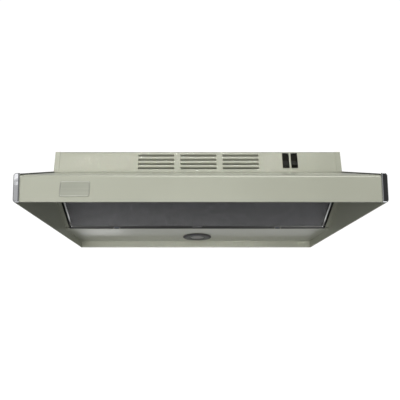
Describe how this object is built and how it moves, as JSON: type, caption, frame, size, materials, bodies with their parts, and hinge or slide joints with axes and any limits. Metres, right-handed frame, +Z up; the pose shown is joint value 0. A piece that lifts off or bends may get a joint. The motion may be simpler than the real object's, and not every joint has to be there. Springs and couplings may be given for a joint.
{
  "type": "under cabinet range hood",
  "caption": "Wide, shallow under-cabinet range hood: sloping sheet-metal front with louvres, rocker switches, a slanted filter and a round lamp underneath.",
  "frame": {"origin": "centre of the four cabinet-screw slots, on the top panel's upper face", "axes": "+X to the right as seen from the front, along the length; +Y back to the wall; +Z up, out of the top panel"},
  "size_m": [0.7664, 0.4485, 0.2032],
  "materials": {
    "shell_paint": "satin",
    "cap_chrome": "polished",
    "trim_black": "matte",
    "zinc_steel": "satin",
    "motor_paint": "satin",
    "core_steel": "matte",
    "bearing_bronze": "satin",
    "screw_steel": "polished",
    "fan_aluminium": "satin",
    "filter_aluminium": "satin",
    "mesh_grey": "matte",
    "charcoal": "matte",
    "nylon": "matte",
    "ceramic": "satin",
    "bulb_glass": "clear",
    "lamp_black": "satin",
    "lamp_glass": "frosted",
    "switch_black": "gloss",
    "rocker_black": "gloss",
    "tab_brass": "satin",
    "bushing_rubber": "matte",
    "gasket_foam": "matte",
    "lead_sleeve": "satin",
    "badge_plate": "satin"
  },
  "bodies": {
    "hood": {"side_panel_left": "shell_paint", "side_panel_right": "shell_paint", "front_band": "shell_paint", "sloped_deck": "shell_paint", "upper_fascia": "shell_paint", "top_panel": "shell_paint", "back_panel": "shell_paint", "lamp_panel": "shell_paint", "fan_plate": "shell_paint", "filter_top_channel": "shell_paint", "filter_guide_left": "shell_paint", "filter_guide_right": "shell_paint", "filter_gasket": "gasket_foam", "filter_rail_left": "trim_black", "filter_rail_right": "trim_black", "edge_trim_left": "trim_black", "edge_trim_right": "trim_black", "end_cap_left": "cap_chrome", "end_cap_right": "cap_chrome", "lamp_housing": "zinc_steel", "motor_bracket": "zinc_steel", "motor_end_plate": "zinc_steel", "wiring_box": "zinc_steel", "motor_can": "motor_paint", "stator_core": "core_steel", "motor_bushes": "bearing_bronze", "motor_screws": "screw_steel", "bracket_screws": "screw_steel", "filter_catches": "screw_steel", "filter_pivot_left": "nylon", "filter_pivot_right": "nylon", "lamp_holder": "ceramic", "lamp_bulb": "bulb_glass", "switch_housing_fan": "switch_black", "switch_housing_light": "switch_black", "switch_tabs_fan": "tab_brass", "switch_tabs_light": "tab_brass", "terminal_block": "nylon", "cable_bushing": "bushing_rubber", "lead_grommet": "bushing_rubber", "lead_motor": "lead_sleeve", "lead_switches": "lead_sleeve", "lead_lamp": "lead_sleeve", "blank_badge": "badge_plate"},
    "fan": {"motor_shaft": "screw_steel", "rotor": "core_steel", "fan_wheel": "fan_aluminium", "fan_nut": "screw_steel"},
    "rocker_fan_body": {"rocker_fan": "rocker_black"},
    "rocker_light_body": {"rocker_light": "rocker_black"},
    "filter": {"filter_frame": "filter_aluminium", "filter_mesh": "mesh_grey", "charcoal_pad": "charcoal", "backing_mesh": "mesh_grey", "filter_pull_tab": "filter_aluminium", "filter_hinge_pins": "screw_steel"},
    "lamp_cover": {"lamp_bezel": "lamp_black", "lamp_glass": "lamp_glass"}
  },
  "joints": [
    {"name": "fan_spin", "type": "hinge", "parent": "hood", "child": "fan", "pos_m": [0, -0.01, -0.074], "axis": [0, 0, 1], "continuous": true},
    {"name": "rocker_fan_tilt", "type": "hinge", "parent": "hood", "child": "rocker_fan_body", "pos_m": [0.2322, -0.131, -0.0246], "axis": [1, 0, 0], "range_deg": [-8, 8]},
    {"name": "rocker_light_tilt", "type": "hinge", "parent": "hood", "child": "rocker_light_body", "pos_m": [0.2545, -0.131, -0.0246], "axis": [1, 0, 0], "range_deg": [0, 16]},
    {"name": "filter_swing", "type": "hinge", "parent": "hood", "child": "filter", "pos_m": [0, -0.15664, -0.08408], "axis": [-1, 0, 0], "range_deg": [0, 55]},
    {"name": "lamp_cover_turn", "type": "hinge", "parent": "hood", "child": "lamp_cover", "pos_m": [0.0025, 0.0725, -0.182], "axis": [0, 0, 1], "range_deg": [0, 25]}
  ]
}
